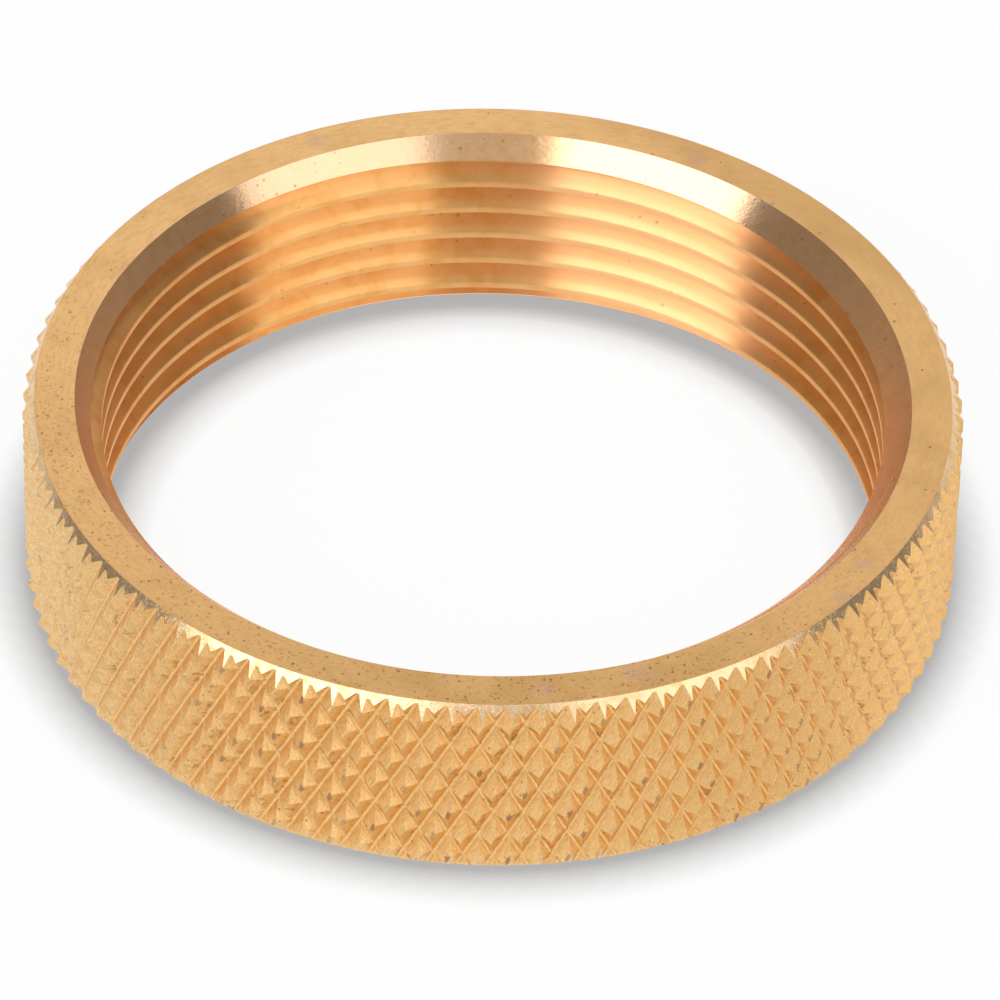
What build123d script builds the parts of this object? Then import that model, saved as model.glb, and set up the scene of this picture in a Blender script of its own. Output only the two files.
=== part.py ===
from build123d import *
import os
from math import ceil, cos, pi, radians, sin, tan

# Ring nut, lying on its lower face. Lengths in millimetres, angles in degrees.

# Turned ring
bore_diameter = 34.7
wall_thickness = 3.5
height = 9.3
top_bevel_width = 0.54
top_bevel_drop = 0.74
bottom_bevel_width = 0.42
bottom_bevel_rise = 0.42

# Lead-ins at both ends of the hole
lead_in_width = 1.175
lead_out_width = 0.8
lead_angle = 45

# Right-hand thread in the hole, its groove crossing the +X axis at the start height
thread_pitch = 1.5
thread_flank_angle = 30
thread_crest_flat = 0.375
thread_root_flat = 0.19
thread_start_height = 0.07

# Diamond knurl, each point a pyramid with four flat faces
knurl_teeth = 100
knurl_angle = 27.1
knurl_depth = 0.5
lowest_point_height = 0.62

# Metal between the knurl's hollows and the round inner part that carries the teeth
knurl_backing = 0.4
# How far a cutting shape reaches past the metal, and a tooth into the metal that carries it
overcut = 0.2

bore_radius = bore_diameter / 2
outside_radius = bore_radius + wall_thickness
hollow_radius = outside_radius - knurl_depth
backing_radius = hollow_radius - knurl_backing

# The knurl's grid: points and hollows take turns along each row and up each column
half_tooth = pi / knurl_teeth
row_rise = outside_radius * half_tooth / tan(radians(knurl_angle))
first_row = -ceil(lowest_point_height / row_rise) - 1
last_row = ceil((height - lowest_point_height) / row_rise) + 1


def place_at(radius, column, row):
    angle = column * half_tooth
    return Vector(radius * cos(angle), radius * sin(angle), lowest_point_height + row * row_rise)


# A point where column and row are both even or both odd, else a hollow
def front(column, row):
    radius = outside_radius if (column + row) % 2 == 0 else hollow_radius
    return place_at(radius, column, row)


def back(column, row):
    return place_at(backing_radius - overcut, column, row)


def flat_face(*corners):
    return Face(Wire.make_polygon(corners))


# One tooth of the knurl, a wedge from hollow to hollow with flat triangles in front
facets = []
for column in (-1, 0):
    for row in range(first_row, last_row):
        corners = [front(column, row), front(column + 1, row), front(column + 1, row + 1), front(column, row + 1)]
        if (column + row) % 2 == 0:
            corners.append(corners.pop(0))
        facets.append(flat_face(corners[0], corners[1], corners[2]))
        facets.append(flat_face(corners[0], corners[2], corners[3]))
    facets.append(flat_face(back(column, first_row), back(column + 1, first_row),
                            back(column + 1, last_row), back(column, last_row)))
    for row in (first_row, last_row):
        facets.append(flat_face(front(column, row), front(column + 1, row),
                                back(column + 1, row), back(column, row)))
for column in (-1, 1):
    facets.append(flat_face(*[front(column, row) for row in range(first_row, last_row + 1)],
                            back(column, last_row), back(column, first_row)))
tooth_blank = Solid(Shell(facets))

# The tooth cut to the ring's outline, with both its ends bevelled
with BuildPart() as knurl_tooth:
    add(tooth_blank)
    with BuildSketch(Plane.XZ):
        with BuildLine():
            Polyline((bore_radius, 0), (outside_radius - bottom_bevel_width, 0),
                     (outside_radius, bottom_bevel_rise), (outside_radius + overcut, bottom_bevel_rise),
                     (outside_radius + overcut, height - top_bevel_drop),
                     (outside_radius, height - top_bevel_drop), (outside_radius - top_bevel_width, height),
                     (bore_radius, height), close=True)
        make_face()
    extrude(amount=outside_radius * half_tooth, both=True, mode=Mode.INTERSECT)

# One turn of the thread's groove, beginning under the ring
groove_depth = (thread_pitch - thread_crest_flat - thread_root_flat) / 2 / tan(radians(thread_flank_angle))
groove_root_radius = bore_radius + groove_depth
groove_mouth = thread_pitch - thread_crest_flat + 2 * overcut * tan(radians(thread_flank_angle))
turns_below = ceil((thread_start_height + groove_mouth / 2) / thread_pitch) + 1
first_turn_height = thread_start_height - turns_below * thread_pitch
turns = turns_below + ceil((height - thread_start_height + groove_mouth / 2) / thread_pitch) + 1
with BuildPart() as groove_turn:
    with BuildLine():
        groove_path = Helix(thread_pitch, thread_pitch, bore_radius, center=(0, 0, first_turn_height))
    with BuildSketch(Plane.XZ):
        with BuildLine():
            Polyline((bore_radius - overcut, first_turn_height - groove_mouth / 2),
                     (groove_root_radius, first_turn_height - thread_root_flat / 2),
                     (groove_root_radius, first_turn_height + thread_root_flat / 2),
                     (bore_radius - overcut, first_turn_height + groove_mouth / 2), close=True)
        make_face()
    sweep(path=groove_path, is_frenet=True)

# Round inner part with its two lead-ins, then the thread cut turn by turn, then the teeth round it
lead_slope = tan(radians(lead_angle))
with BuildPart() as ring_nut:
    with BuildSketch(Plane.XZ):
        with BuildLine():
            Polyline((bore_radius, lead_out_width / lead_slope), (bore_radius + lead_out_width, 0),
                     (backing_radius, 0), (backing_radius, height), (bore_radius + lead_in_width, height),
                     (bore_radius, height - lead_in_width / lead_slope), close=True)
        make_face()
    revolve(axis=Axis.Z)
    with Locations(*[(0, 0, turn * thread_pitch) for turn in range(turns)]):
        add(groove_turn.part, mode=Mode.SUBTRACT)
    with PolarLocations(0, knurl_teeth):
        add(knurl_tooth.part)

ring_nut.part.label = "ring_nut"
os.makedirs("parts", exist_ok=True)
export_step(ring_nut.part, "parts/ring_nut.step")
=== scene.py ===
import bpy
import bmesh
import random
from math import atan2, cos, hypot, pi, radians, sin
from mathutils import Matrix, Vector


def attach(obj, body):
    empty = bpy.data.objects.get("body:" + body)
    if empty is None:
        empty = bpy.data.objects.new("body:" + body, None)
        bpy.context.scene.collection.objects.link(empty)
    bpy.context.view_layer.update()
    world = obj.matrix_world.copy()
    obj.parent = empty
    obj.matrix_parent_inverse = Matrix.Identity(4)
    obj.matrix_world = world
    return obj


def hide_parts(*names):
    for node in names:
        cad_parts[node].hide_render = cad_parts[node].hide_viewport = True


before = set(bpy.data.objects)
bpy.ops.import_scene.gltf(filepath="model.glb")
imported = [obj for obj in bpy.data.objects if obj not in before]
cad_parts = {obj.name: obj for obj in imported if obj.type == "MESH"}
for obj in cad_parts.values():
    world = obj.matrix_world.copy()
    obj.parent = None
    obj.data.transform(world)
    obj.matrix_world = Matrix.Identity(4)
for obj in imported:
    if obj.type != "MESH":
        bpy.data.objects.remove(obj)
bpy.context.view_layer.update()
print("frame loaded")

mm = 0.001
random.seed(41)

# Lengths in millimetres and angles in degrees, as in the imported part
outline = {
    "outsideRadius": 20.85, "height": 9.3,
    "topBevelWidth": 0.54, "topBevelDrop": 0.74,
    "bottomBevelWidth": 0.42, "bottomBevelRise": 0.42,
    "edgeRounding": 0.03,
}
knurl = {
    "teeth": 100, "rowRise": 1.28004, "firstTip": 0.62,
    "slope": 0.55,           # fall from a crest to a sharp groove bottom
    "crest": 0.3,            # half length of a crest, along the deeper grooves
    "shallowRise": 0.15,     # how much higher the shallower grooves lie
    "crestFlat": 0.08,       # half width of the blunt crests
    "deepFlat": 0.11,        # half width of the deeper grooves' bottoms
    "shallowFlat": 0.1,      # half width of the shallower grooves' bottoms
    "ridgeWorn": 0.022,      # how far the ridges' rounding reaches, in millimetres
    "flatWithin": 0.2,       # faces that turn by less than this are one facet
    "ridgeTurn": 12,         # edges that turn by more than this are ridges
    "tipWear": 0.04,         # how far a tip may be rubbed down
    "wearAcross": 0.4, "wearAlong": 0.8,     # how far that reaches from the tip
}
thread = {
    "crestRadius": 17.35, "rootRadius": 18.1598, "pitch": 1.5, "startHeight": 0.07,
    "crestFlat": 0.31, "rootFlat": 0.19, "rounding": 0.02,
    "leadIn": 1.175, "leadOut": 0.8,
    "strips": 20, "stripSteps": 19,          # parts of a turn, and steps in each
}
# How near counts as the same place, on the knurl's flat sheet and, in metres, on the ring's mesh
onSheet = {"cut": 1e-5, "upright": 1e-6}
onRing = {"seam": 3e-7, "join": 1e-6, "rim": 3e-6, "speck": 1e-8}

regions = ["knurl", "bevel", "face", "leadIn", "thread"]
halfTooth = pi / knurl["teeth"]
tipRows = range(-2, 9)
ridgeSlant = (1 - knurl["crest"]) / (1 - knurl["shallowRise"])

# Each tip's own wear, by its place across and up
tipWear = {(across, up): knurl["tipWear"] * random.random() ** 2
           for across in range(2 * knurl["teeth"]) for up in tipRows}


# The knurl is laid out flat first, across in half teeth and up in rows. Along its deeper grooves
# across - up stays the same, along its shallower ones across + up does.
def upAt(z):
    return (z - knurl["firstTip"]) / knurl["rowRise"]


def heightAt(up):
    return knurl["firstTip"] + up * knurl["rowRise"]


# How far a place is from the nearest tip's two lines, 0 on them and 1 in the grooves
def fromTip(across, up):
    return abs((across - up + 1) % 2 - 1), abs((across + up + 1) % 2 - 1)


def knurlRadius(across, up):
    toDeep, toShallow = fromTip(across, up)
    deep = max(1 - toDeep, knurl["deepFlat"])
    shallow = knurl["shallowRise"] + max(1 - toShallow, knurl["shallowFlat"]) / ridgeSlant
    crest = 1 - knurl["crestFlat"]
    return outline["outsideRadius"] - knurl["slope"] * (crest - min(deep, shallow, crest))


def topBevelRadius(z):
    start = outline["height"] - outline["topBevelDrop"]
    return outline["outsideRadius"] - (z - start) * outline["topBevelWidth"] / outline["topBevelDrop"]


def bottomBevelRadius(z):
    slope = outline["bottomBevelWidth"] / outline["bottomBevelRise"]
    return outline["outsideRadius"] - outline["bottomBevelWidth"] + z * slope


def cutSheet(sheet, place, normal, clear=False, faces=None):
    faces = faces or sheet.faces[:]
    edges = dict.fromkeys(edge for face in faces for edge in face.edges)
    verts = dict.fromkeys(vert for face in faces for vert in face.verts)
    bmesh.ops.bisect_plane(sheet, geom=[*verts, *edges, *faces], dist=onSheet["cut"], plane_co=place,
                           plane_no=normal, clear_outer=clear)


# Cuts the sheet along its grooves, each set of them at the given offsets from every tooth.
def cutLines(sheet, **sets):
    normals = {"deep": (1, -1, 0), "shallow": (1, 1, 0)}
    for tooth in range(-8, 12, 2):
        for name, offsets in sets.items():
            for offset in offsets:
                cutSheet(sheet, (tooth + offset, 0, 0), normals[name])


def runsRound(edge):
    return edge.is_boundary and abs(edge.verts[0].co.x - edge.verts[1].co.x) > onSheet["upright"]


def edgeLoop(sheet, radiusAt):
    return [edge for edge in sheet.edges if runsRound(edge) and all(
        abs(vert.co.z - radiusAt(heightAt(vert.co.y))) < onSheet["cut"] for vert in edge.verts)]


# Draws out an edge of the sheet and puts its new corners where place says, each as radius and height.
def drawOut(sheet, edges, place):
    made = bmesh.ops.extrude_edge_only(sheet, edges=edges)["geom"]
    for item in made:
        if isinstance(item, bmesh.types.BMVert):
            radius, z = place(item.co.z)
            item.co.z, item.co.y = radius, upAt(z)
        elif isinstance(item, bmesh.types.BMFace):
            item.material_index = regions.index("bevel")
    return [item for item in made if isinstance(item, bmesh.types.BMEdge) and runsRound(item)]


def isOfTooth(centre, across, up):
    x, y = centre.x - across, centre.y - up
    return abs(x - y) < 1 and abs(x + y) < 1


# Cuts the ridges of one tooth at a time, running slightly aslant from both ends of its crest.
def cutRidges(sheet):
    slants = ((1 - ridgeSlant, 1 + ridgeSlant, 0), (1 + ridgeSlant, 1 - ridgeSlant, 0))
    tips = [(across, up) for across in range(4) for up in tipRows if (across + up) % 2 == 0]
    for across, up in tips:
        for end in (-knurl["crest"] / 2, knurl["crest"] / 2):
            for normal in slants:
                tooth = [face for face in sheet.faces if isOfTooth(face.calc_center_median(), across, up)]
                if tooth:
                    cutSheet(sheet, (across + end, up + end, 0), normal, faces=tooth)


# Trims the sheet where it stands out past a bevel.
def trimSheet(sheet, bevelRadius):
    for vert in sheet.verts:
        vert.co.z -= bevelRadius(heightAt(vert.co.y))
    cutSheet(sheet, (0, 0, 0), (0, 0, 1), clear=True)
    for vert in sheet.verts:
        vert.co.z += bevelRadius(heightAt(vert.co.y))


def addBevels(sheet):
    rim, rounding = outline["outsideRadius"] - outline["topBevelWidth"], outline["edgeRounding"]
    edges = edgeLoop(sheet, topBevelRadius)
    for outward, below in ((0.59, 0.81), (0.1, 0.15), (-1, 0)):      # down the bevel, round and inwards
        place = (rim + rounding * outward, outline["height"] - rounding * below)
        edges = drawOut(sheet, edges, lambda radius: place)
    foot = bottomBevelRadius(0)
    drawOut(sheet, edgeLoop(sheet, bottomBevelRadius), lambda radius: (min(radius, foot), 0))


# One tooth's width of the knurl with both bevels, as a sheet with its radius as third coordinate
def knurlSheet():
    sheet = bmesh.new()
    bmesh.ops.create_grid(sheet, x_segments=1, y_segments=1, size=1)
    for vert in sheet.verts:
        vert.co = Vector((1.5 + vert.co.x, upAt(outline["height"] if vert.co.y > 0 else 0), 0))
    side, end = knurl["crestFlat"], knurl["crest"] + knurl["crestFlat"] * ridgeSlant
    shallowEdges = (1 - knurl["shallowFlat"], 1 + knurl["shallowFlat"])
    cutLines(sheet, deep=(-side, side, 1 - knurl["deepFlat"], 1 + knurl["deepFlat"]),
             shallow=(-end, end, *shallowEdges))
    cutRidges(sheet)
    for vert in sheet.verts:
        vert.co.z = knurlRadius(vert.co.x, vert.co.y)
    sheet.normal_update()
    verts, edges = [[item for item in items if not item.is_boundary] for items in (sheet.verts, sheet.edges)]
    bmesh.ops.dissolve_limit(sheet, angle_limit=radians(knurl["flatWithin"]), verts=verts, edges=edges)
    cutLines(sheet, shallow=shallowEdges)
    trimSheet(sheet, topBevelRadius)
    trimSheet(sheet, bottomBevelRadius)
    for face in sheet.faces:
        face.material_index = regions.index("knurl")
    addBevels(sheet)
    return sheet


# How far a place is worn down, by how near it is to the next tip
def wearAt(across, up):
    column, row = round((across - up) / 2), round((across + up) / 2)
    toDeep, toShallow = fromTip(across, up)
    near = max(0, 1 - toDeep / knurl["wearAcross"]) * max(0, 1 - toShallow / knurl["wearAlong"])
    return tipWear[(column + row) % (2 * knurl["teeth"]), row - column] * near


def isRidge(edge):
    return (len(edge.link_faces) == 2 and edge.calc_face_angle_signed() > radians(knurl["ridgeTurn"])
            and all(face.material_index == regions.index("knurl") for face in edge.link_faces))


def shapeOutside(mesh):
    sheet = knurlSheet()
    data = bpy.data.meshes.new("knurlSheet")
    sheet.to_mesh(data)
    sheet.free()
    mesh.from_mesh(data)
    bpy.data.meshes.remove(data)
    for vert in mesh.verts:
        angle, radius = vert.co.x * halfTooth, vert.co.z
        vert.co = Vector((radius * cos(angle), radius * sin(angle), heightAt(vert.co.y))) * mm
    copies = knurl["teeth"] - 1
    bmesh.ops.spin(mesh, geom=mesh.verts[:] + mesh.edges[:] + mesh.faces[:], cent=(0, 0, 0), axis=(0, 0, 1),
                   angle=2 * pi * copies / knurl["teeth"], steps=copies, use_duplicate=True)
    bmesh.ops.remove_doubles(mesh, verts=mesh.verts, dist=onRing["seam"])
    bmesh.ops.recalc_face_normals(mesh, faces=mesh.faces)
    bmesh.ops.bevel(mesh, geom=[edge for edge in mesh.edges if isRidge(edge)], offset=knurl["ridgeWorn"] * mm,
                    offset_type="OFFSET", segments=1, profile=0.5, affect="EDGES", clamp_overlap=True,
                    material=-1)
    tipsFrom, lowest, highest = outline["outsideRadius"] - 0.3, 0.3, 8.7
    for vert in mesh.verts:
        radius, z = hypot(vert.co.x, vert.co.y) / mm, vert.co.z / mm
        if radius > tipsFrom and lowest < z < highest:
            shrink = 1 - wearAt(atan2(vert.co.y, vert.co.x) / halfTooth, upAt(z)) / radius
            vert.co.x *= shrink
            vert.co.y *= shrink


# Spins a line of points round the axis, first through one strip and then as copies of that strip.
def spinLine(mesh, points):
    strips, steps = thread["strips"], thread["stripSteps"]
    rise = thread["pitch"] * mm / strips
    rowLayer = mesh.verts.layers.int["row"]
    older = set(mesh.verts)
    line = []
    for row, (radius, z) in enumerate(points):
        vert = mesh.verts.new((radius * mm, 0, z * mm))
        vert[rowLayer] = row
        line.append(vert)
    edges = [mesh.edges.new(pair) for pair in zip(line, line[1:])]
    bmesh.ops.spin(mesh, geom=line + edges, cent=(0, 0, 0), axis=(0, 0, 1), angle=2 * pi / strips,
                   dvec=(0, 0, rise / steps), steps=steps)
    strip = [vert for vert in mesh.verts if vert not in older]
    stripFaces = list(dict.fromkeys(face for vert in strip for face in vert.link_faces))
    stripEdges = list(dict.fromkeys(edge for vert in strip for edge in vert.link_edges))
    bmesh.ops.spin(mesh, geom=strip + stripEdges + stripFaces, cent=(0, 0, 0), axis=(0, 0, 1),
                   angle=2 * pi * (strips - 1) / strips, dvec=(0, 0, rise), steps=strips - 1,
                   use_duplicate=True)
    return [vert for vert in mesh.verts if vert not in older]


# Radius of the lead-in and lead-out cones, less than the crest's between them
def leadRadius(z):
    top = thread["crestRadius"] + z - (outline["height"] - thread["leadIn"])
    bottom = thread["crestRadius"] + thread["leadOut"] - z
    return max(top, bottom)


# The corners of the thread as radius and height, and which of them are spare ones on a straight stretch
def threadLine():
    crest, root, r = thread["crestRadius"], thread["rootRadius"], thread["rounding"]
    halfRoot, halfMouth = thread["rootFlat"] / 2, thread["pitch"] / 2 - thread["crestFlat"] / 2
    groove = []
    for side in (-1, 1):
        corners = [(crest, side * (halfMouth + r)), (crest + r * 0.87, side * (halfMouth - r * 0.5)),
                   (root - r * 0.6, side * (halfRoot + r * 0.35)), (root, side * (halfRoot - r * 0.7))]
        groove += corners if side < 0 else corners[::-1]
    line = []
    for turn in range(-2, 7):
        centre = thread["startHeight"] + turn * thread["pitch"]
        line += [(radius, centre + z) for radius, z in groove]
    points, spare, longFrom = [], [], 0.1
    for here, there in zip(line, line[1:]):
        points.append(here)
        spare.append(False)
        if there[1] - here[1] > longFrom:
            points.append(((here[0] + there[0]) / 2, (here[1] + there[1]) / 2))
            spare.append(True)
    return points + [line[-1]], spare + [False]


# The thread runs out into the cones: where a flank meets a cone, its spare corner moves to the crossing.
def shapeThread(mesh):
    rowLayer = mesh.verts.layers.int["row"]
    points, spare = threadLine()
    for vert in spinLine(mesh, points):
        row = vert[rowLayer]
        radius, z = hypot(vert.co.x, vert.co.y) / mm, vert.co.z / mm
        if spare[row]:
            (lowRadius, lowZ), (highRadius, highZ) = points[row - 1], points[row + 1]
            lift = z - points[row][1]
            lowGap = lowRadius - leadRadius(lowZ + lift)
            highGap = highRadius - leadRadius(highZ + lift)
            if lowGap * highGap < 0:
                share = lowGap / (lowGap - highGap)
                radius = lowRadius + (highRadius - lowRadius) * share
                z = lowZ + lift + (highZ - lowZ) * share
        z = min(max(z, 0), outline["height"])
        radius = max(radius, leadRadius(z)) if 0 < z < outline["height"] else leadRadius(z)
        angle = atan2(vert.co.y, vert.co.x)
        vert.co = Vector((radius * cos(angle), radius * sin(angle), z)) * mm


def openEdges(mesh, z):
    edges = [edge for edge in mesh.edges
             if edge.is_boundary and abs(edge.verts[0].co.z - z * mm) < onRing["rim"]]
    for edge in edges:
        for vert in edge.verts:
            vert.co.z = z * mm
    return edges


def buildRing():
    mesh = bmesh.new()
    mesh.verts.layers.int.new("row")
    shapeOutside(mesh)
    print("knurled outside shaped", len(mesh.verts))
    shapeThread(mesh)
    print("thread shaped", len(mesh.verts))
    bmesh.ops.remove_doubles(mesh, verts=mesh.verts, dist=onRing["join"])
    bmesh.ops.dissolve_degenerate(mesh, edges=mesh.edges, dist=onRing["speck"])
    for z in (0, outline["height"]):
        bmesh.ops.triangle_fill(mesh, edges=openEdges(mesh, z), normal=(0, 0, 1), use_beauty=True)
    bmesh.ops.recalc_face_normals(mesh, faces=mesh.faces)
    print("open edges left", sum(edge.is_boundary for edge in mesh.edges), "faces", len(mesh.faces))
    return mesh


def regionOf(face):
    outerPart, nearEnd, nearCone, level = 20.3, 0.01, 0.003, 0.995
    centre = face.calc_center_median() / mm
    atEnd = centre.z > outline["height"] - nearEnd or centre.z < nearEnd
    if atEnd and abs(face.normal.z) > level:
        return "face"
    if hypot(centre.x, centre.y) > outerPart:
        return regions[face.material_index]
    offCone = max(abs(hypot(vert.co.x, vert.co.y) / mm - leadRadius(vert.co.z / mm)) for vert in face.verts)
    return "leadIn" if offCone < nearCone else "thread"


# Sorts the faces by surface, and lays two maps: the marks run along each facet's groove, the lattice
# counts the grooves.
def finishRing(mesh):
    sharpFrom, shallowShift = radians(34), 0.7
    marks = mesh.loops.layers.uv.new("marks")
    lattice = mesh.loops.layers.uv.new("lattice")
    for face in mesh.faces:
        region = regionOf(face)
        face.material_index = regions.index(region)
        face.smooth = region != "knurl"
        centre = face.calc_center_median() / mm
        middle = atan2(centre.y, centre.x)
        toDeep, toShallow = fromTip(middle / halfTooth, upAt(centre.z))
        alongDeep = toShallow < knurl["crest"] + toDeep * ridgeSlant
        for loop in face.loops:
            angle = atan2(loop.vert.co.y, loop.vert.co.x)
            across = (middle + (angle - middle + pi) % (2 * pi) - pi) / halfTooth
            up = upAt(loop.vert.co.z / mm)
            loop[lattice].uv = (across - up, across + up)
            deepMarks, shallowMarks = (across + up, across - up), (across - up + shallowShift, across + up)
            loop[marks].uv = deepMarks if alongDeep else shallowMarks
    for edge in mesh.edges:
        if len(edge.link_faces) == 2:
            first, second = edge.link_faces
            if first.material_index != second.material_index or edge.calc_face_angle(0) > sharpFrom:
                edge.smooth = False


ringMesh = buildRing()
finishRing(ringMesh)
ringData = bpy.data.meshes.new("turnedRing")
ringMesh.to_mesh(ringData)
ringMesh.free()
turnedRing = bpy.data.objects.new("turnedRing", ringData)
bpy.context.scene.collection.objects.link(turnedRing)
weighted = turnedRing.modifiers.new("evenShading", "WEIGHTED_NORMAL")
weighted.keep_sharp = True
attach(turnedRing, "root")
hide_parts("ring_nut")
print("ring built")


def addNode(tree, kind, **settings):
    node = tree.nodes.new(kind)
    for name, value in settings.items():
        setattr(node, name, value)
    return node


# Puts a value into a socket, or the output of another node.
def feed(tree, socket, value):
    if isinstance(value, bpy.types.NodeSocket):
        tree.links.new(value, socket)
    elif value is not None:
        socket.default_value = value


# Sets the nodes of a tree out in columns, each to the left of the nodes that it feeds.
def arrangeNodes(tree):
    column = {node.name: 0 for node in tree.nodes}
    moved = True
    while moved:
        moved = False
        for link in tree.links:
            if column[link.from_node.name] <= column[link.to_node.name]:
                column[link.from_node.name] = column[link.to_node.name] + 1
                moved = True
    rows = {}
    for node in tree.nodes:
        place = column[node.name]
        node.location = (-240 * place, -260 * rows.get(place, 0))
        rows[place] = rows.get(place, 0) + 1


def newGroup(name, output, **inputs):
    group = bpy.data.node_groups.new(name, "ShaderNodeTree")
    for label, value in inputs.items():
        kind = "NodeSocketVector" if value is None else "NodeSocketFloat"
        socket = group.interface.new_socket(label, in_out="INPUT", socket_type=kind)
        if value is not None:
            socket.default_value = value
    group.interface.new_socket(output, in_out="OUTPUT", socket_type="NodeSocketFloat")
    return group, addNode(group, "NodeGroupInput").outputs, addNode(group, "NodeGroupOutput").inputs[0]


# A node that works on numbers, with its inputs in order, each a number or the output of another node
def reckon(tree, operation, *values, clamp=False):
    node = addNode(tree, "ShaderNodeMath", operation=operation, use_clamp=clamp)
    for socket, value in zip(node.inputs, values):
        feed(tree, socket, value)
    return node.outputs[0]


# The same for places and directions
def reckonPlace(tree, operation, *values):
    node = addNode(tree, "ShaderNodeVectorMath", operation=operation)
    for socket, value in zip(node.inputs, values):
        feed(tree, socket, value)
    return node.outputs["Value" if operation in ("LENGTH", "DISTANCE", "DOT_PRODUCT") else "Vector"]


def joinPlace(tree, **parts):
    node = addNode(tree, "ShaderNodeCombineXYZ")
    for label, value in parts.items():
        feed(tree, node.inputs[label], value)
    return node.outputs[0]


def splitPlace(tree, place):
    node = addNode(tree, "ShaderNodeSeparateXYZ")
    feed(tree, node.inputs[0], place)
    return node.outputs


# Turns one stretch of values into another, softly at both ends.
def spread(tree, value, fromMin, fromMax, toMin, toMax, kind="SMOOTHSTEP"):
    node = addNode(tree, "ShaderNodeMapRange", interpolation_type=kind)
    for label, number in (("Value", value), ("From Min", fromMin), ("From Max", fromMax), ("To Min", toMin),
                          ("To Max", toMax)):
        feed(tree, node.inputs[label], number)
    return node.outputs["Result"]


def addNoise(tree, place, scale, **settings):
    node = addNode(tree, "ShaderNodeTexNoise")
    feed(tree, node.inputs["Vector"], place)
    feed(tree, node.inputs["Scale"], scale)
    for label, value in settings.items():
        feed(tree, node.inputs[label], value)
    return node.outputs


# Fine lines round the axis, as the lathe tool leaves them. Wander sets how often they break off.
def buildTurningMarks():
    group, given, result = newGroup("turningMarks", "Marks", Place=None, Lines=12, Wander=3)
    parts = splitPlace(group, given["Place"])
    flat = joinPlace(group, X=parts["X"], Y=parts["Y"])
    around = reckonPlace(group, "NORMALIZE", flat)
    stepParts = splitPlace(group, reckonPlace(group, "MULTIPLY", around, given["Wander"]))
    slope = reckon(group, "ADD", reckonPlace(group, "LENGTH", flat), parts["Z"])
    lines = reckon(group, "MULTIPLY", slope, given["Lines"])
    place = joinPlace(group, X=lines, Y=stepParts["X"], Z=stepParts["Y"])
    feed(group, result, addNoise(group, place, 1, Detail=3, Roughness=0.65)["Fac"])
    return group


# Cloudy patches, for tarnish and stains, and for the painted glints on the knurl
def buildPatches():
    group, given, result = newGroup("cloudyPatches", "Patches", Place=None, Scale=0.5, From=0.45, To=0.65)
    noise = addNoise(group, given["Place"], given["Scale"], Detail=5, Roughness=0.62, Distortion=0.4)
    feed(group, result, spread(group, noise["Fac"], given["From"], given["To"], 0, 1))
    return group


# Small ragged pits scattered over a surface. Amount is the share of places that have one.
def buildSpecks():
    ragged, raggedScale = 0.07, 9
    group, given, result = newGroup("darkSpecks", "Specks", Place=None, Scale=6, Size=0.2, Amount=0.5)
    warp = addNoise(group, given["Place"], raggedScale)["Color"]
    bend = reckonPlace(group, "MULTIPLY_ADD", warp, (ragged, ragged, ragged), given["Place"])
    spots = addNode(group, "ShaderNodeTexVoronoi")
    feed(group, spots.inputs["Vector"], bend)
    feed(group, spots.inputs["Scale"], given["Scale"])
    chosen = addNode(group, "ShaderNodeSeparateColor")
    feed(group, chosen.inputs[0], spots.outputs["Color"])
    few = reckon(group, "LESS_THAN", chosen.outputs["Red"], given["Amount"])
    reach = reckon(group, "MULTIPLY", chosen.outputs["Green"], given["Size"])
    near = spread(group, spots.outputs["Distance"], 0, reach, 1, 0)
    feed(group, result, reckon(group, "MULTIPLY", near, few))
    return group


# Blots at fixed places on the upper face, each given as its angle, radius and reach
faceBlots = [(116, 19.4, 0.9), (62, 19.3, 0.8), (-33, 19.6, 0.7), (-40, 19.9, 0.6), (-70, 19.2, 1.0),
             (-82, 19.5, 0.7)]


def buildBlots():
    blot = {"raggedScale": 1.3, "ragged": 2.4, "full": 1.1, "end": 2.2}
    group, given, result = newGroup("faceBlots", "Blots", Place=None)
    ragged = addNoise(group, given["Place"], blot["raggedScale"], Detail=4)["Fac"]
    total = 0
    for angle, radius, reach in faceBlots:
        centre = (radius * cos(radians(angle)), radius * sin(radians(angle)), outline["height"])
        gap = reckonPlace(group, "DISTANCE", given["Place"], centre)
        uneven = reckon(group, "MULTIPLY_ADD", ragged, blot["ragged"] * reach, gap)
        near = spread(group, uneven, blot["full"] * reach, blot["end"] * reach, 1, 0)
        total = reckon(group, "MAXIMUM", total, near)
    feed(group, result, total)
    return group
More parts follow.
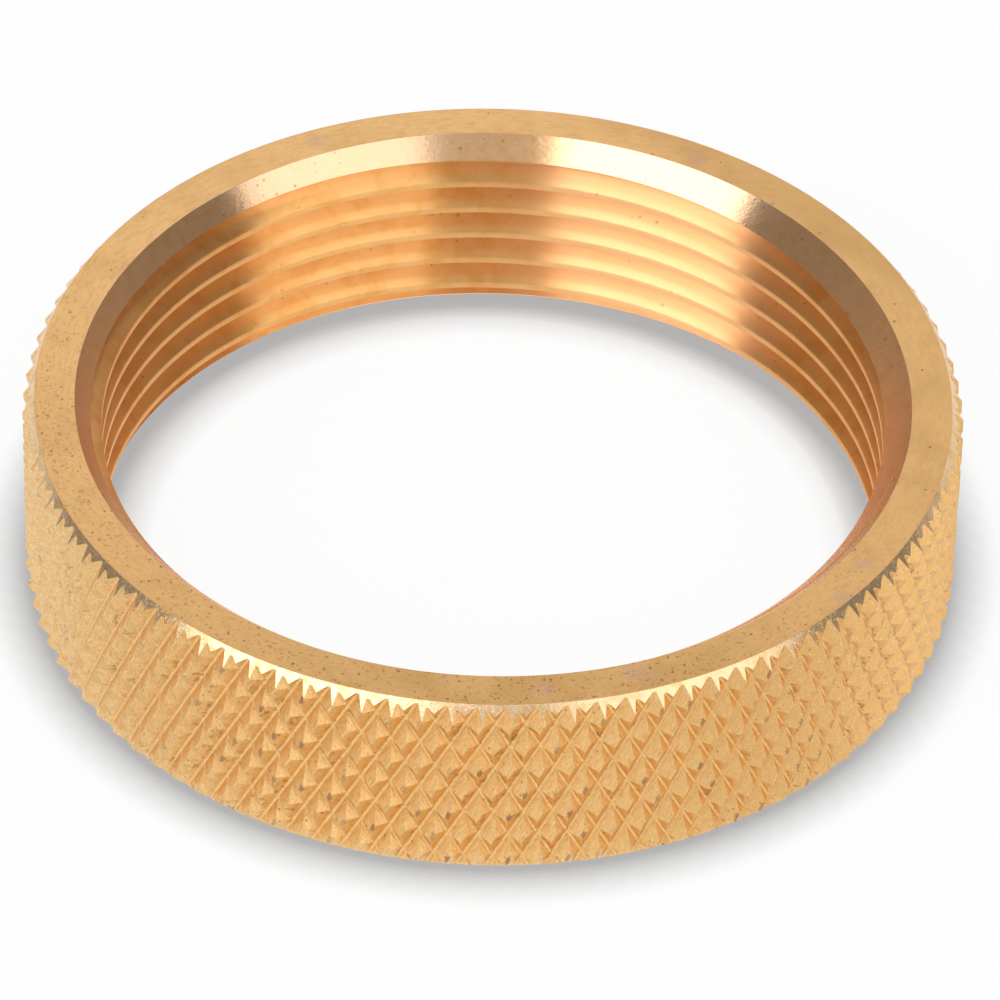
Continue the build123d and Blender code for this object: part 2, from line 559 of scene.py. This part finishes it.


# The blunt crests of the knurl, each as dark as chance has it: painted shade, for the dark floor that they
# mirror
def buildCrests():
    mark = {
        "halfWidth": 3.4 * knurl["crestFlat"], "halfLength": 1.4 * knurl["crest"],
        "raggedScale": 5, "ragged": 1.6, "edge": (1.2, 1.75), "chance": (0.3, 1.0, 0.05, 1),
    }
    group, given, result = newGroup("bluntCrests", "Crests", Lattice=None)
    parts = splitPlace(group, given["Lattice"])
    across = reckon(group, "PINGPONG", parts["X"], 1.0)
    along = reckon(group, "PINGPONG", parts["Y"], 1.0)
    shares = joinPlace(group, X=reckon(group, "DIVIDE", across, mark["halfWidth"]),
                       Y=reckon(group, "DIVIDE", along, mark["halfLength"]))
    ragged = addNoise(group, given["Lattice"], mark["raggedScale"], Detail=3)["Fac"]
    uneven = reckon(group, "MULTIPLY_ADD", ragged, mark["ragged"], reckonPlace(group, "LENGTH", shares))
    near = spread(group, uneven, *mark["edge"], 1, 0)
    tips = [reckon(group, "ROUND", reckon(group, "MULTIPLY", parts[axis], 0.5)) for axis in ("X", "Y")]
    chance = addNode(group, "ShaderNodeTexWhiteNoise")
    feed(group, chance.inputs["Vector"], joinPlace(group, X=tips[0], Y=tips[1]))
    dark = spread(group, chance.outputs["Value"], *mark["chance"])
    feed(group, result, reckon(group, "MULTIPLY", near, dark))
    return group


# The sides of the knurl's teeth that face down, which get painted shade, and dirt where patches have it
def buildUnderSides():
    softness = 0.04
    group, given, result = newGroup("underSides", "Below", Lattice=None)
    parts = splitPlace(group, given["Lattice"])
    deep = reckon(group, "WRAP", parts["X"], 1.0, -1.0)
    shallow = reckon(group, "WRAP", parts["Y"], 1.0, -1.0)
    side = reckon(group, "MULTIPLY", reckon(group, "SIGN", deep), knurl["crest"])
    slanted = reckon(group, "MULTIPLY_ADD", deep, ridgeSlant, side)
    feed(group, result, spread(group, reckon(group, "SUBTRACT", shallow, slanted), -softness, softness, 1, 0))
    return group


turningMarks = buildTurningMarks()
cloudyPatches = buildPatches()
darkSpecks = buildSpecks()
blots = buildBlots()
bluntCrests = buildCrests()
underSides = buildUnderSides()


# Places a group in a material with its values, each a number or an output, and returns its output.
def useGroup(tree, group, *values):
    node = addNode(tree, "ShaderNodeGroup", node_tree=group)
    for socket, value in zip(node.inputs, values):
        feed(tree, socket, value)
    return node.outputs[0]


def startMaterial(name, roughness):
    material = bpy.data.materials.new(name)
    material.use_nodes = True
    tree = material.node_tree
    tree.nodes.clear()
    output = addNode(tree, "ShaderNodeOutputMaterial")
    shader = addNode(tree, "ShaderNodeBsdfPrincipled")
    feed(tree, shader.inputs["Metallic"], 1)
    feed(tree, shader.inputs["Roughness"], roughness)
    tree.links.new(shader.outputs[0], output.inputs[0])
    place = addNode(tree, "ShaderNodeVectorMath", operation="SCALE")     # from metres to millimetres
    feed(tree, place.inputs["Scale"], 1 / mm)
    feed(tree, place.inputs[0], addNode(tree, "ShaderNodeTexCoord").outputs["Object"])
    return material, tree, shader, place.outputs[0]


# Mixes two colours, each given as three numbers or as an output.
def mixColour(tree, factor, first, second):
    mix = addNode(tree, "ShaderNodeMix", data_type="RGBA")
    feed(tree, mix.inputs["Factor"], factor)
    sockets = [socket for socket in mix.inputs if socket.type == "RGBA"]
    for value, socket in zip((first, second), sockets):
        feed(tree, socket, (*value, 1) if isinstance(value, tuple) else value)
    return [socket for socket in mix.outputs if socket.type == "RGBA"][0]


# Lays a colour over another where a mask has it, at the given strength.
def layOver(tree, mask, strength, under, over):
    return mixColour(tree, reckon(tree, "MULTIPLY", mask, strength), under, over)


# Bumps of the given strength and height in millimetres, on top of earlier ones
def addBump(tree, shader, height, strength, distance, before=None):
    bump = addNode(tree, "ShaderNodeBump")
    feed(tree, bump.inputs["Strength"], strength)
    feed(tree, bump.inputs["Distance"], distance * mm)
    feed(tree, bump.inputs["Height"], height)
    feed(tree, bump.inputs["Normal"], before)
    tree.links.new(bump.outputs[0], shader.inputs["Normal"])
    return bump.outputs[0]


# Cutting marks round the axis blur reflections up and down but not sideways.
def combFinish(tree, shader):
    around = addNode(tree, "ShaderNodeTangent", direction_type="RADIAL", axis="Z")
    tree.links.new(around.outputs[0], shader.inputs["Tangent"])
    feed(tree, shader.inputs["Anisotropic"], 1.0)
    feed(tree, shader.inputs["Anisotropic Rotation"], 0.25)


# In the paints below, marks have lines a millimetre and wander, patches have a scale and the two ends of
# their edge, specks have a scale and a size, and bumps a strength and a height in millimetres. A direction
# grows to about 1 at the ring's side that it points to, and a share runs between two places and two amounts.
# An amount is how strongly a mask is laid over the colours before it.
def facePaint():
    paint = {
        "clean": (0.765, 0.465, 0.196), "streak": (0.62, 0.355, 0.14), "tarnish": (0.55, 0.315, 0.12),
        "pit": (0.20, 0.09, 0.035), "blot": (0.50, 0.31, 0.23), "roughness": 0.34,
        "marks": (7, 30), "clouds": (0.35, 0.42, 0.7), "pepper": (6, 0.57, 0.66), "grain": (9, 0.5, 0.75),
        "specks": (4.2, 0.42), "streaks": (0.42, 0.68, 0, 0.6),
        "front": (-0.02, -0.045, 0), "rightFront": (0.042, -0.032, 0), "rearRight": (0.033, 0.0393, 0),
        "speckShare": (-0.6, 0.9, 0.08, 0.5), "pepperShare": (-0.5, 0.8, 0.1, 1),
        "rightFrontShare": (-0.5, 0.65, 0, 0.4), "frontShare": (0.1, 0.95, 0, 0.3),
        "rearShare": (0.88, 0.97, 0, 0.45), "cloudShare": 0.4, "speckEverywhere": 0.3,
        "grainAmount": 0.3, "blotAmount": 0.45, "pepperAmount": 0.6, "speckAmount": 0.9,
        "marksBump": (0.2, 0.01), "pitBump": (0.5, 0.02),
    }
    material, tree, shader, place = startMaterial("satinFace", paint["roughness"])
    marks = useGroup(tree, turningMarks, place, *paint["marks"])
    clouds = useGroup(tree, cloudyPatches, place, *paint["clouds"])
    front = reckonPlace(tree, "DOT_PRODUCT", place, paint["front"])
    rightFront = reckonPlace(tree, "DOT_PRODUCT", place, paint["rightFront"])
    rearRight = reckonPlace(tree, "DOT_PRODUCT", place, paint["rearRight"])
    amount = reckon(tree, "MULTIPLY", reckon(tree, "ADD", clouds, paint["speckEverywhere"]),
                    spread(tree, front, *paint["speckShare"]))
    specks = useGroup(tree, darkSpecks, place, *paint["specks"], amount)
    pepper = useGroup(tree, cloudyPatches, place, *paint["pepper"])
    pepper = reckon(tree, "MULTIPLY", pepper, spread(tree, front, *paint["pepperShare"]))
    grain = useGroup(tree, cloudyPatches, place, *paint["grain"])
    # Tarnish in clouds, with painted shade in the same tarnish colour towards the front, the right front and
    # the rear right
    tarnishAndShade = reckon(tree, "MULTIPLY_ADD", clouds, paint["cloudShare"],
                       spread(tree, rightFront, *paint["rightFrontShare"]))
    tarnishAndShade = reckon(tree, "ADD", tarnishAndShade, spread(tree, front, *paint["frontShare"]), clamp=True)
    tarnishAndShade = reckon(tree, "ADD", tarnishAndShade, spread(tree, rearRight, *paint["rearShare"]), clamp=True)
    colour = mixColour(tree, spread(tree, marks, *paint["streaks"]), paint["clean"], paint["streak"])
    colour = mixColour(tree, tarnishAndShade, colour, paint["tarnish"])
    colour = layOver(tree, grain, paint["grainAmount"], colour, paint["streak"])
    colour = layOver(tree, useGroup(tree, blots, place), paint["blotAmount"], colour, paint["blot"])
    colour = layOver(tree, pepper, paint["pepperAmount"], colour, paint["pit"])
    colour = layOver(tree, specks, paint["speckAmount"], colour, paint["pit"])
    tree.links.new(colour, shader.inputs["Base Color"])
    bumped = addBump(tree, shader, marks, *paint["marksBump"])
    addBump(tree, shader, reckon(tree, "MULTIPLY", specks, -1.0), *paint["pitBump"], bumped)
    return material


def bevelPaint():
    paint = {
        "clean": (0.88, 0.61, 0.35), "tarnish": (0.72, 0.45, 0.20), "roughness": 0.26,
        "marks": (9, 45), "clouds": (0.9, 0.45, 0.7), "grain": (6, 0.5, 0.7),
        "marksBump": (0.35, 0.012), "grainBump": (0.25, 0.015),
    }
    material, tree, shader, place = startMaterial("bevelBrass", paint["roughness"])
    marks = useGroup(tree, turningMarks, place, *paint["marks"])
    clouds = useGroup(tree, cloudyPatches, place, *paint["clouds"])
    grain = useGroup(tree, cloudyPatches, place, *paint["grain"])
    colour = mixColour(tree, clouds, paint["clean"], paint["tarnish"])
    tree.links.new(colour, shader.inputs["Base Color"])
    bumped = addBump(tree, shader, marks, *paint["marksBump"])
    addBump(tree, shader, grain, *paint["grainBump"], bumped)
    return material


def knurlPaint():
    paint = {
        "clean": (0.98, 0.62, 0.26), "warm": (0.80, 0.455, 0.155), "light": (1.0, 0.80, 0.52),
        # below is painted shade for the teeth's down-facing sides, crest is painted shade for the blunt
        # crests, residue is dirt
        "below": (0.88, 0.585, 0.232), "crest": (0.34, 0.155, 0.085), "residue": (0.42, 0.205, 0.065),
        "pit": (0.22, 0.09, 0.03), "roughness": 0.33,
        "drag": (1.3, 15, 1),                # scale of the marks along and across a facet
        "clouds": (0.45, 0.4, 0.7), "grain": (8, 0.48, 0.66), "paintedGlints": (13, 0.54, 0.68),
        "dirt": (3.6, 0.5, 0.62), "specks": (5, 0.45),
        "right": (0.046, -0.012, 0), "front": (0.004, -0.048, 0),
        "speckShare": (0, 1, 0.04, 0.35), "dirtShare": (0.1, 0.9, 0.2, 0.85),
        "dragShare": (0.42, 0.62, 0, 0.85), "crestShare": (0.55, 0.92, 0.25, 0.9),
        "rightShare": (0.35, 0.9, 0, 0.6), "leftShare": (-0.9, -0.3, 0.22, 0),
        "grainAmount": 0.6, "paintedGlintsAmount": 0.7, "speckAmount": 0.9,
        "dragBump": (0.5, 0.02), "grainBump": (0.35, 0.02),
    }
    material, tree, shader, place = startMaterial("knurlBrass", paint["roughness"])
    marks = addNode(tree, "ShaderNodeUVMap", uv_map="marks").outputs[0]
    lattice = addNode(tree, "ShaderNodeUVMap", uv_map="lattice").outputs[0]
    stretch = addNode(tree, "ShaderNodeMapping")
    feed(tree, stretch.inputs["Vector"], marks)
    feed(tree, stretch.inputs["Scale"], paint["drag"])
    drag = addNoise(tree, stretch.outputs[0], 1, Detail=3, Roughness=0.6)["Fac"]
    clouds = useGroup(tree, cloudyPatches, place, *paint["clouds"])
    grain = useGroup(tree, cloudyPatches, place, *paint["grain"])
    paintedGlints = useGroup(tree, cloudyPatches, place, *paint["paintedGlints"])
    dirt = useGroup(tree, cloudyPatches, place, *paint["dirt"])
    specks = useGroup(tree, darkSpecks, place, *paint["specks"], spread(tree, clouds, *paint["speckShare"]))
    crests = useGroup(tree, bluntCrests, lattice)
    below = useGroup(tree, underSides, lattice)
    right = reckonPlace(tree, "DOT_PRODUCT", place, paint["right"])
    front = reckonPlace(tree, "DOT_PRODUCT", place, paint["front"])
    belowDirt = reckon(tree, "MULTIPLY", below, spread(tree, clouds, *paint["dirtShare"]))
    belowDirt = reckon(tree, "MULTIPLY", belowDirt, dirt)
    # Painted shade: the down-facing sides of the teeth get a darker brass
    colour = mixColour(tree, below, paint["clean"], paint["below"])
    # Painted shade towards the right of the ring and painted light towards the left
    colour = mixColour(tree, spread(tree, right, *paint["rightShare"]), colour, paint["warm"])
    colour = mixColour(tree, spread(tree, right, *paint["leftShare"]), colour, paint["light"])
    colour = mixColour(tree, spread(tree, drag, *paint["dragShare"]), colour, paint["warm"])
    colour = layOver(tree, grain, paint["grainAmount"], colour, paint["warm"])
    # Painted glints: fine pale specks laid into the colour
    colour = layOver(tree, paintedGlints, paint["paintedGlintsAmount"], colour, paint["light"])
    colour = mixColour(tree, belowDirt, colour, paint["residue"])
    # Painted shade on the blunt crests, most of it towards the front
    colour = layOver(tree, crests, spread(tree, front, *paint["crestShare"]), colour, paint["crest"])
    colour = layOver(tree, specks, paint["speckAmount"], colour, paint["pit"])
    tree.links.new(colour, shader.inputs["Base Color"])
    bumped = addBump(tree, shader, drag, *paint["dragBump"])
    addBump(tree, shader, grain, *paint["grainBump"], bumped)
    return material


def leadInPaint():
    paint = {
        "clean": (0.95, 0.585, 0.31), "brown": (0.88, 0.49, 0.20), "bright": (0.98, 0.66, 0.42),
        "pit": (0.30, 0.13, 0.05), "roughness": 0.26,
        "marks": (4, 60), "fine": (12, 25), "clouds": (1.8, 0.42, 0.66), "specks": (3.5, 0.45, 0.25),
        "behind": (0, 0.056, 0), "sideways": (0.056, 0, 0),
        "behindShare": (0.7, 0.8, 0, 0.75), "sideShare": (0.1, 0.2, 0, 1),
        "cloudAmount": 0.65, "speckAmount": 0.7, "fineBump": (0.3, 0.01), "marksBump": (0.3, 0.015),
    }
    material, tree, shader, place = startMaterial("roughCutBrass", paint["roughness"])
    marks = useGroup(tree, turningMarks, place, *paint["marks"])
    fine = useGroup(tree, turningMarks, place, *paint["fine"])
    clouds = useGroup(tree, cloudyPatches, place, *paint["clouds"])
    specks = useGroup(tree, darkSpecks, place, *paint["specks"])
    behind = reckonPlace(tree, "DOT_PRODUCT", place, paint["behind"])
    sideways = reckon(tree, "ABSOLUTE", reckonPlace(tree, "DOT_PRODUCT", place, paint["sideways"]))
    # Painted light: a paler brass at the rear, either side of the middle
    paintedLightBehind = reckon(tree, "MULTIPLY", spread(tree, behind, *paint["behindShare"]),
                    spread(tree, sideways, *paint["sideShare"]))
    colour = layOver(tree, clouds, paint["cloudAmount"], paint["clean"], paint["brown"])
    colour = mixColour(tree, paintedLightBehind, colour, paint["bright"])
    colour = layOver(tree, specks, paint["speckAmount"], colour, paint["pit"])
    tree.links.new(colour, shader.inputs["Base Color"])
    combFinish(tree, shader)
    bumped = addBump(tree, shader, fine, *paint["fineBump"])
    addBump(tree, shader, marks, *paint["marksBump"], bumped)
    return material


def threadPaint():
    paint = {
        "clean": (0.95, 0.535, 0.20), "deep": (0.88, 0.45, 0.14), "bright": (0.96, 0.555, 0.27),
        "pit": (0.36, 0.17, 0.06), "roughness": 0.35,
        "marks": (9, 30), "clouds": (0.6, 0.42, 0.65), "specks": (2.5, 0.35, 0.12),
        "rearRight": (0.0247, 0.0506, 0), "rearShare": (0.88, 0.97, 0, 0.8),
        "speckAmount": 0.7, "marksBump": (0.2, 0.01),
    }
    material, tree, shader, place = startMaterial("threadBrass", paint["roughness"])
    marks = useGroup(tree, turningMarks, place, *paint["marks"])
    clouds = useGroup(tree, cloudyPatches, place, *paint["clouds"])
    specks = useGroup(tree, darkSpecks, place, *paint["specks"])
    rearRight = reckonPlace(tree, "DOT_PRODUCT", place, paint["rearRight"])
    colour = mixColour(tree, clouds, paint["clean"], paint["deep"])
    # Painted light: a paler brass towards the rear right, where the thread is lit
    colour = mixColour(tree, spread(tree, rearRight, *paint["rearShare"]), colour, paint["bright"])
    colour = layOver(tree, specks, paint["speckAmount"], colour, paint["pit"])
    tree.links.new(colour, shader.inputs["Base Color"])
    combFinish(tree, shader)
    addBump(tree, shader, marks, *paint["marksBump"])
    return material


paints = {"knurl": knurlPaint(), "bevel": bevelPaint(), "face": facePaint(), "leadIn": leadInPaint(),
          "thread": threadPaint()}
for region in regions:
    turnedRing.data.materials.append(paints[region])
    arrangeNodes(paints[region].node_tree)
for group in (turningMarks, cloudyPatches, darkSpecks, blots, bluntCrests, underSides):
    arrangeNodes(group)
print("brass painted")


studio = {
    "cameraTurn": 0.38, "elevation": 41.1244, "roll": 1.55378, "distance": 359.751,
    "aimRight": 0.28267, "aimUp": -4.69276, "lens": 292.644, "sensor": 36,
    "floorSize": 4.0, "floorColour": (0.95, 0.95, 0.95), "whiteShare": 0.93, "world": 0.22,
    "shadowWidth": 2.65, "shadowDepth": 0.43, "shadowFrom": 0.5,
}

# Each panel has the low and high end of the edge next to the camera, the middle of its far edge, and its
# brightness. Places are metres to the right of the camera's line, behind the ring and up.
panels = {
    "leftPanel": ((-0.209, -0.954, 0.394), (-0.279, -0.59, 1.79), (-1.109, -0.257, 1.09), 2.85),
    "leftTopPanel": ((-0.279, -0.59, 1.79), (-0.31, -0.43, 2.4), (-1.16, 0.005, 2.085), 0.82),
    "middlePanel": ((-0.2, -1.0, 0.22), (-0.31, -0.43, 2.4), (0.373, -0.705, 1.31), 0.45),
    "rightPanel": ((0.29, -1.0, 0.12), (0.456, -0.41, 2.4), (1.14, -0.15, 1.25), 1.4),
    "backPanel": ((-0.35, 0.8, 0.42), (-0.35, 0.55, 1.0), (0.35, 0.675, 0.71), 1.1),
}

# The camera's line, level to its right and towards it
sideways = Vector((cos(radians(studio["cameraTurn"])), sin(radians(studio["cameraTurn"])), 0))
forward = Vector((sideways.y, -sideways.x, 0))


# Turns an object so that its own three axes lie along the given ones.
def turnTo(thing, *axes):
    thing.rotation_euler = Matrix(axes).transposed().to_euler()


def placeCamera():
    camera = bpy.data.objects.new("camera", bpy.data.cameras.new("camera"))
    bpy.context.scene.collection.objects.link(camera)
    elevation, roll = radians(studio["elevation"]), radians(studio["roll"])
    back = forward * cos(elevation) + Vector((0, 0, sin(elevation)))
    upward = back.cross(sideways)
    viewRight = sideways * cos(roll) + upward * sin(roll)
    viewUp = upward * cos(roll) - sideways * sin(roll)
    aim = Vector((0, 0, outline["height"])) + viewRight * studio["aimRight"] + viewUp * studio["aimUp"]
    camera.data.lens = studio["lens"]
    camera.data.sensor_width = studio["sensor"]
    camera.data.clip_start = 0.01
    camera.location = (aim + back * studio["distance"]) * mm
    turnTo(camera, viewRight, viewUp, back)
    bpy.context.scene.camera = camera


def inStudio(place):
    right, behind, up = place
    return sideways * right - forward * behind + Vector((0, 0, up))


def hangPanel(name, low, high, far, brightness):
    low, high, far = inStudio(low), inStudio(high), inStudio(far)
    edge = high - low
    across = far - (low + high) / 2
    across -= edge.normalized() * across.dot(edge.normalized())
    data = bpy.data.lights.new(name, "AREA")
    data.shape = "RECTANGLE"
    data.size, data.size_y = across.length, edge.length
    data.energy = brightness * pi * across.length * edge.length
    lamp = bpy.data.objects.new(name, data)
    lamp.location = (low + high) / 2 + across / 2
    lamp.visible_camera = False
    away = across.cross(edge).normalized()
    if away.dot(lamp.location) < 0:
        across, away = -across, -away
    turnTo(lamp, across.normalized(), edge.normalized(), away)
    bpy.context.scene.collection.objects.link(lamp)


def lightWorld():
    world = bpy.data.worlds.new("studio")
    world.use_nodes = True
    background = world.node_tree.nodes["Background"]
    background.inputs["Color"].default_value = (1, 1, 1, 1)
    background.inputs["Strength"].default_value = studio["world"]
    bpy.context.scene.world = world


# White to the camera and in reflections, and shaded close to the ring
def floorPaint():
    material = bpy.data.materials.new("paleFloor")
    material.use_nodes = True
    tree = material.node_tree
    tree.nodes.clear()
    output = addNode(tree, "ShaderNodeOutputMaterial")
    mix = addNode(tree, "ShaderNodeMixShader")
    matt = addNode(tree, "ShaderNodeBsdfDiffuse")
    white = addNode(tree, "ShaderNodeEmission")
    nearRing = addNode(tree, "ShaderNodeAmbientOcclusion", samples=8)
    light = addNode(tree, "ShaderNodeLightPath").outputs
    feed(tree, matt.inputs["Color"], (*studio["floorColour"], 1))
    feed(tree, nearRing.inputs["Distance"], studio["shadowWidth"] * mm)
    shade = spread(tree, nearRing.outputs["AO"], studio["shadowFrom"], 1, studio["shadowDepth"], 1, "LINEAR")
    feed(tree, white.inputs["Color"], reckon(tree, "MAXIMUM", shade, light["Is Glossy Ray"]))
    seen = reckon(tree, "MAXIMUM", light["Is Camera Ray"], light["Is Glossy Ray"])
    feed(tree, mix.inputs["Fac"], reckon(tree, "MULTIPLY", seen, studio["whiteShare"]))
    tree.links.new(matt.outputs[0], mix.inputs[1])
    tree.links.new(white.outputs[0], mix.inputs[2])
    tree.links.new(mix.outputs[0], output.inputs[0])
    arrangeNodes(tree)
    return material


def layFloor():
    mesh = bmesh.new()
    bmesh.ops.create_grid(mesh, x_segments=1, y_segments=1, size=studio["floorSize"] / 2)
    data = bpy.data.meshes.new("floor")
    mesh.to_mesh(data)
    mesh.free()
    data.materials.append(floorPaint())
    floor = bpy.data.objects.new("floor", data)
    bpy.context.scene.collection.objects.link(floor)
    return floor


placeCamera()
for name, panel in panels.items():
    hangPanel(name, *panel)
lightWorld()
floor = layFloor()
bpy.context.scene.view_settings.view_transform = "Standard"
print("studio set")
